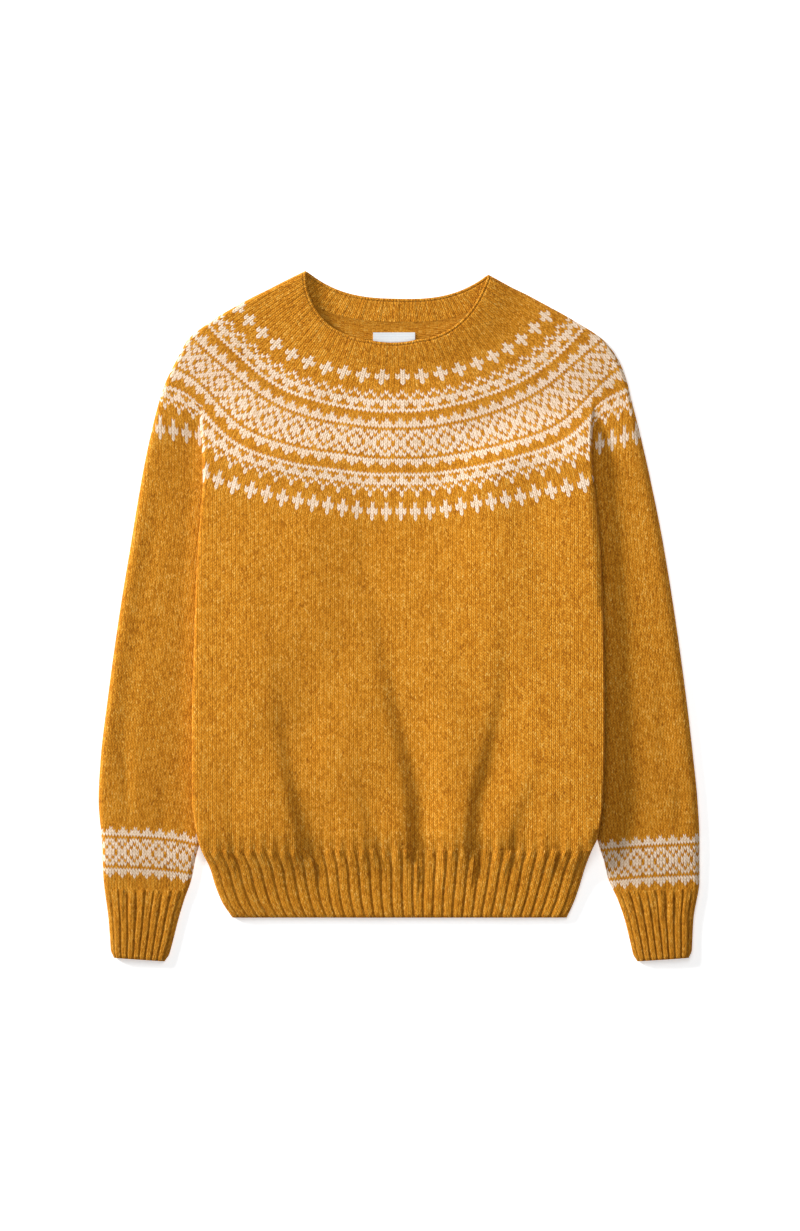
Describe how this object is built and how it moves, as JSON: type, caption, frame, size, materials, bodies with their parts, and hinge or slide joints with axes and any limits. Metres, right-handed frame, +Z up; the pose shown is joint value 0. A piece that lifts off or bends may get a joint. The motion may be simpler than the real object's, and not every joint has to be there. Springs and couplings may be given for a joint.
{
  "type": "fair isle jumper",
  "caption": "Knitted jumper with a patterned circular yoke, crew neck and ribbed edges, laid flat with its sleeves drawn down beside the body.",
  "frame": {"origin": "centre of the jumper's bounding box in plan, on the surface that it lies on", "axes": "+Y from the welt to the neck, +X to the sleeve on the right as seen from above, +Z up, off the surface, through the front"},
  "size_m": [0.602, 0.6917, 0.0218],
  "materials": {
    "ochre_wool": "heathered ochre knitted wool, matt, slightly hairy",
    "fair_isle_wool": "stranded knit in ochre and cream wool, matt",
    "rib_wool": "ochre knitted wool in rib, matt",
    "label_tape": "smooth white woven tape, bare"
  },
  "bodies": {
    "root": {"yoke_front": "fair_isle_wool", "yoke_back": "fair_isle_wool", "front_body": "ochre_wool", "back_body": "ochre_wool", "sleeve_left": "ochre_wool", "sleeve_right": "ochre_wool", "cuff_left": "rib_wool", "cuff_right": "rib_wool", "hem_front": "rib_wool", "hem_back": "rib_wool", "neckband_front": "rib_wool", "neckband_back": "rib_wool", "neck_label": "label_tape"}
  },
  "joints": []
}
